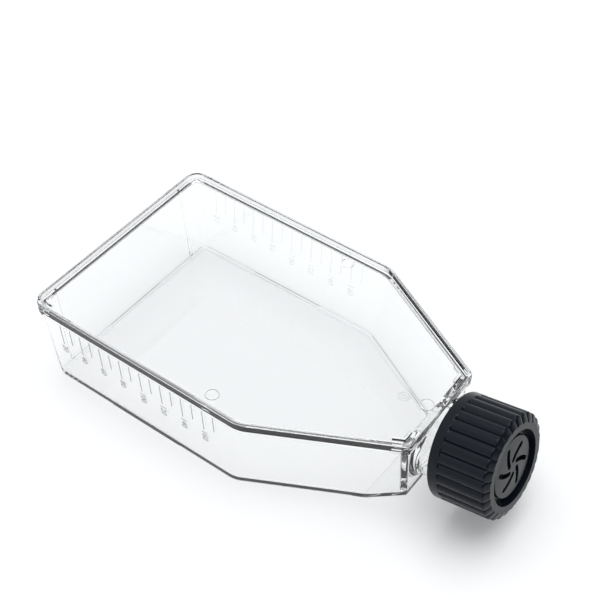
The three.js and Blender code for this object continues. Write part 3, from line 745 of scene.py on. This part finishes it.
def cap_blank():
    """The cap as one skin: out over the inside of its end wall, down the bore, round the mouth, up
    the ribbed skirt, over the rounded edge, through the groove and over the disc to its middle.

    Round the skirt each rib is a low arch, so its radius falls off from the crest as a circle
    does: by one less the root of one less the square of the place across it. The grooves between
    the ribs deepen after the plain band, along a smooth step, and grow shallow again at the edge.
    """
    steps = 12
    angle = np.arange(RIB_COUNT * steps) * (2 * math.pi / (RIB_COUNT * steps))
    across = (np.arange(RIB_COUNT * steps) % steps) / steps * 2 - 1
    bead = CAP_BORE - BEAD_REACH
    inside = [
        (1.0, CAP_END_INSIDE), (CAP_BORE - 0.3, CAP_END_INSIDE), (CAP_BORE, CAP_END_INSIDE - 0.3),
        *zip((CAP_BORE, bead, bead, CAP_BORE), BEAD_LEVELS),
        (CAP_BORE, 0.5), (CAP_BORE + 0.5, 0.0),
    ]
    skirt = [(CAP_RADIUS - MOUTH_ROUNDING, 0.0), (CAP_RADIUS - 0.09, 0.09),
             (CAP_RADIUS, MOUTH_ROUNDING)]
    skirt += [(CAP_RADIUS, PLAIN_BAND + RIB_RUNOUT * share) for share in np.linspace(0, 1, 9)]
    bend_end = CAP_RADIUS - EDGE_ROUNDING * (1 - math.cos(EDGE_SLOPE))
    edge_start = (CAP_LENGTH - EDGE_ROUNDING * math.sin(EDGE_SLOPE)
                  - (bend_end - FACE_RADIUS) / math.tan(EDGE_SLOPE))
    skirt += [(CAP_RADIUS - EDGE_ROUNDING * (1 - math.cos(a)),
               edge_start + EDGE_ROUNDING * math.sin(a)) for a in np.linspace(0, EDGE_SLOPE, 7)]
    skirt += [(FACE_RADIUS + (bend_end - FACE_RADIUS) * share,
               CAP_LENGTH - (bend_end - FACE_RADIUS) * share / math.tan(EDGE_SLOPE))
              for share in (0.66, 0.33, 0)]
    disc = RECESS_RADIUS - GROOVE_WIDTH
    disc_edge = CAP_LENGTH - RECESS_DEPTH
    groove_floor = CAP_LENGTH - GROOVE_DEPTH
    face = [(RECESS_RADIUS, CAP_LENGTH), (RECESS_RADIUS - GROOVE_DRAFT, groove_floor),
            (disc + GROOVE_DRAFT, groove_floor), (disc, disc_edge - DISC_ROUNDING),
            (disc - DISC_ROUNDING, disc_edge)]
    face += [(disc * r, disc_edge + DISC_DOME * (1 - r * r)) for r in (0.8, 0.6, 0.4, 0.2, 0.06)]
    profile = np.array(inside + skirt + face)
    radius, height = profile[:, :1], profile[:, 1:]
    start = np.clip((height - PLAIN_BAND) / RIB_RUNOUT, 0, 1)
    to_end = np.clip((CAP_LENGTH - height) / (CAP_LENGTH - edge_start), 0, 1)
    end = RIB_END_SHARE + (1 - RIB_END_SHARE) * to_end
    depth = RIB_HEIGHT * start * start * (3 - 2 * start) * np.sqrt(end)
    arch = (1 - np.sqrt(1 - (RIB_ARCH * across) ** 2)) / (1 - math.sqrt(1 - RIB_ARCH ** 2))
    outside = (radius > FACE_RADIUS - 0.01) & (height > 0.4)
    reach = np.where(outside, radius - depth * arch, radius)
    rings = np.stack(np.broadcast_arrays(
        reach * np.cos(angle), reach * np.sin(angle), height), -1)
    return solid("cap", rings)


def vent_slot(turn):
    """One slot: a bowed line of constant width with round ends, cut through the end wall.

    The line is a quadratic curve from the outer end to the inner one, and its banks stand half the
    width to each side of it.
    """
    half = SLOT_WIDTH / 2
    outer = (SLOT_OUTER - half) * np.array([math.cos(turn), math.sin(turn)])
    inner = (SLOT_INNER + half) * np.array([
        math.cos(turn + SLOT_SWEEP), math.sin(turn + SLOT_SWEEP)])
    along = (inner - outer) / np.linalg.norm(inner - outer)
    middle = (outer + inner) / 2 + 2 * SLOT_BOW * np.array([along[1], -along[0]])
    share = np.linspace(0, 1, 13)[:, None]
    line = (1 - share) ** 2 * outer + 2 * share * (1 - share) * middle + share ** 2 * inner
    tangent = 2 * (1 - share) * (middle - outer) + 2 * share * (inner - middle)
    tangent /= np.linalg.norm(tangent, axis=1)[:, None]
    bank = half * np.column_stack([tangent[:, 1], -tangent[:, 0]])

    def round_end(centre, start):
        angle = np.linspace(0, math.pi, 9)[1:-1]
        return centre + np.column_stack([
            start[0] * np.cos(angle) - start[1] * np.sin(angle),
            start[0] * np.sin(angle) + start[1] * np.cos(angle)])

    outline = np.concatenate([
        line + bank, round_end(inner, bank[-1]), (line - bank)[::-1], round_end(outer, -bank[0])])
    levels = [np.column_stack([outline, np.full(len(outline), z)])
              for z in (CAP_END_INSIDE - 0.5, CAP_LENGTH + 0.6)]
    return solid("slot", np.array(levels))


def cap_plastic(name, specular, smoothest, roughest):
    """Charcoal plastic with a fine moulded grain, its gloss a little uneven."""
    material = surfaced(name, Specular_IOR_Level=specular)
    cloud = speckle(material, scale=260.0, detail=3.0)
    tinted(material, cloud, (0.003, 0.005, 0.009, 1), (0.006, 0.009, 0.014, 1))
    uneven_gloss(material, cloud, To_Min=smoothest, To_Max=roughest)
    relief(material, speckle(material, scale=5200.0, detail=2.0), strength=0.15, depth=0.00002)
    return material


cap = cap_blank()
thread = solid("thread", helix_rings(CAP_BORE, CAP_THREAD_CREST, CAP_THREAD_START))
combine(cap, thread, "UNION")
for i in range(SLOT_COUNT):
    combine(cap, vent_slot(SLOT_TURN + math.radians(360 / SLOT_COUNT * i)), "DIFFERENCE")
centre = np.empty(len(cap.data.polygons) * 3, np.float32)
cap.data.polygons.foreach_get("center", centre)
centre = centre.reshape(-1, 3)
on_face = (centre[:, 2] > CAP_LENGTH - RECESS_DEPTH - 0.06) & (
    np.hypot(centre[:, 0], centre[:, 1]) < FACE_RADIUS - 0.5)
placed_on_neck(cap, CAP_STANDOFF)
finished(cap, "screw_cap", cap_plastic("cap_skirt_gloss", 0.18, 0.2, 0.32), crease=23)
cap.data.materials.append(cap_plastic("cap_face_grain", 0.26, 0.22, 0.36))
cap.data.polygons.foreach_set("material_index", on_face.astype(np.int32))
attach(cap, "cap")
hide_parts("cap_shell")

# ---- Vent membrane -------------------------------------------------------------------------------
# A thin disc of water-shedding film, bonded inside the cap's end wall behind the slots. Gas passes
# through it, and liquid and germs don't.

MEMBRANE_START = 16.3
MEMBRANE_THICKNESS = 0.3
MEMBRANE_RADIUS = 11.6
MEMBRANE_ROUNDING = 0.05


def membrane_film():
    """Off-white fibrous film that lets light from the neck glow through."""
    material = surfaced("membrane_film", Roughness=0.85)
    links = material.node_tree.links
    surface = material.node_tree.nodes["Principled BSDF"]
    glow = node(material, "ShaderNodeBsdfTranslucent")
    mix = node(material, "ShaderNodeMixShader", Fac=0.5)
    links.new(surface.outputs["BSDF"], mix.inputs[1])
    links.new(glow.outputs["BSDF"], mix.inputs[2])
    links.new(mix.outputs["Shader"], material.node_tree.nodes["Material Output"].inputs["Surface"])
    fibre = speckle(material, scale=2600.0, detail=4.0)
    colour = tinted(material, fibre, (0.50, 0.47, 0.42, 1), (0.68, 0.65, 0.59, 1))
    links.new(colour, glow.inputs["Color"])
    relief(material, fibre, strength=0.4, depth=0.00004)
    return material


def film_disc():
    """The disc with its two edges softened."""
    far = MEMBRANE_START + MEMBRANE_THICKNESS
    inner = MEMBRANE_RADIUS - MEMBRANE_ROUNDING
    return solid("membrane", turned_rings(
        [(inner, MEMBRANE_START), (MEMBRANE_RADIUS, MEMBRANE_START + MEMBRANE_ROUNDING),
         (MEMBRANE_RADIUS, far - MEMBRANE_ROUNDING), (inner, far)], 96))


membrane = film_disc()
placed_on_neck(membrane, CAP_STANDOFF)
finished(membrane, "membrane", membrane_film())
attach(membrane, "cap")
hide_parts("vent_membrane")

# ---- Sealing ring --------------------------------------------------------------------------------
# A soft liner ring between the neck's lip and the membrane, held under a bead in the cap's bore. It
# seals on the lip, and rises with the cap as the cap is turned.

SEAL_START = 14.8
SEAL_THICKNESS = 1.2
SEAL_INNER = 10.3
SEAL_OUTER = 13.4
SEAL_ROUNDING = 0.1


def seal_elastomer():
    """Soft off-white elastomer with a dull skin."""
    material = surfaced("seal_elastomer", Base_Color=(0.74, 0.73, 0.69, 1))
    skin = speckle(material, scale=700.0, detail=3.0)
    uneven_gloss(material, skin, To_Min=0.5, To_Max=0.72)
    relief(material, skin, strength=0.2, depth=0.00005)
    return material


def liner_ring():
    """The ring with its four edges softened."""
    inner, outer, round_off = SEAL_INNER, SEAL_OUTER, SEAL_ROUNDING
    near, far = SEAL_START, SEAL_START + SEAL_THICKNESS
    return solid("seal", turned_rings(
        [(inner, near + round_off), (inner + round_off, near),
         (outer - round_off, near), (outer, near + round_off),
         (outer, far - round_off), (outer - round_off, far),
         (inner + round_off, far), (inner, far - round_off)], 96), endless=True)


seal = liner_ring()
placed_on_neck(seal, CAP_STANDOFF)
finished(seal, "sealing_ring", seal_elastomer())
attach(seal, "liner")
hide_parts("seal_ring")

# ---- Table and light -----------------------------------------------------------------------------
# A plain white table under one large soft light. The clear edges draw their dark lines from a room
# that is white behind the flask and dark in front of it. Matt surfaces get an even light from that
# room, and the backdrop is plain and pale.

ROOM_TINT = (0.96, 0.98, 1, 1)
ROOM_DARK = 0.04
ROOM_BRIGHT = 0.95
ROOM_EVEN = 0.69
BACKDROP = 0.95
WAY_BACK = (-1.0, 0.1, 0.1)
LAMP_PLACE = (0.05, 0.1, 1.6)
LAMP_SIZE = 1.4
LAMP_POWER = 15.6
TABLE_REACH = 4.0

scene = bpy.context.scene
mesh = bpy.data.meshes.new("table")
mesh.from_pydata(
    [(x * TABLE_REACH, y * TABLE_REACH, 0) for x, y in ((-1, -1), (1, -1), (1, 1), (-1, 1))],
    [], [(0, 1, 2, 3)])
mesh.materials.append(surfaced("white_table", Base_Color=(0.93, 0.93, 0.93, 1), Roughness=0.9))
table_top = bpy.data.objects.new("table", mesh)
scene.collection.objects.link(table_top)


def soft_light(name, at, size, power):
    """A square area light that faces the flask."""
    lamp = bpy.data.lights.new(name, "AREA")
    lamp.shape = "SQUARE"
    lamp.size = size
    lamp.energy = power
    light = bpy.data.objects.new(name, lamp)
    light.location = at
    light.rotation_euler = (Vector((0, 0, 0)) - Vector(at)).to_track_quat("-Z", "Y").to_euler()
    scene.collection.objects.link(light)


def studio_room():
    """Light from all round, by what it falls on.

    What mirrors or refracts the room meets a smooth step from dark in front to bright behind, by
    the dot product of the ray's direction and the way back. What scatters it meets one even value,
    and the view past the flask is another.
    """
    room = bpy.data.worlds.new("room")
    room.use_nodes = True
    links = room.node_tree.links
    sky = room.node_tree.nodes["Background"]
    sky.inputs["Color"].default_value = ROOM_TINT
    facing = node(room, "ShaderNodeTexCoord")
    towards_back = node(room, "ShaderNodeVectorMath", operation="DOT_PRODUCT")
    towards_back.inputs[1].default_value = WAY_BACK
    bright = node(
        room, "ShaderNodeMapRange", interpolation_type="SMOOTHSTEP",
        From_Min=-0.35, From_Max=0.5, To_Min=ROOM_DARK, To_Max=ROOM_BRIGHT)
    rays = node(room, "ShaderNodeLightPath")
    strength = node(room, "ShaderNodeMix", B=ROOM_EVEN)
    backdrop = node(room, "ShaderNodeMix", B=BACKDROP)
    links.new(facing.outputs["Generated"], towards_back.inputs[0])
    links.new(towards_back.outputs["Value"], bright.inputs["Value"])
    links.new(rays.outputs["Is Diffuse Ray"], strength.inputs["Factor"])
    links.new(bright.outputs["Result"], strength.inputs["A"])
    links.new(rays.outputs["Is Camera Ray"], backdrop.inputs["Factor"])
    links.new(strength.outputs["Result"], backdrop.inputs["A"])
    links.new(backdrop.outputs["Result"], sky.inputs["Strength"])
    return room


soft_light("overhead", LAMP_PLACE, LAMP_SIZE, LAMP_POWER)
scene.world = studio_room()
scene.view_settings.view_transform = "Standard"
scene.cycles.max_bounces = 100
scene.cycles.transmission_bounces = 100
scene.cycles.glossy_bounces = 8
scene.cycles.transparent_max_bounces = 32
scene.cycles.caustics_reflective = False
scene.cycles.caustics_refractive = False
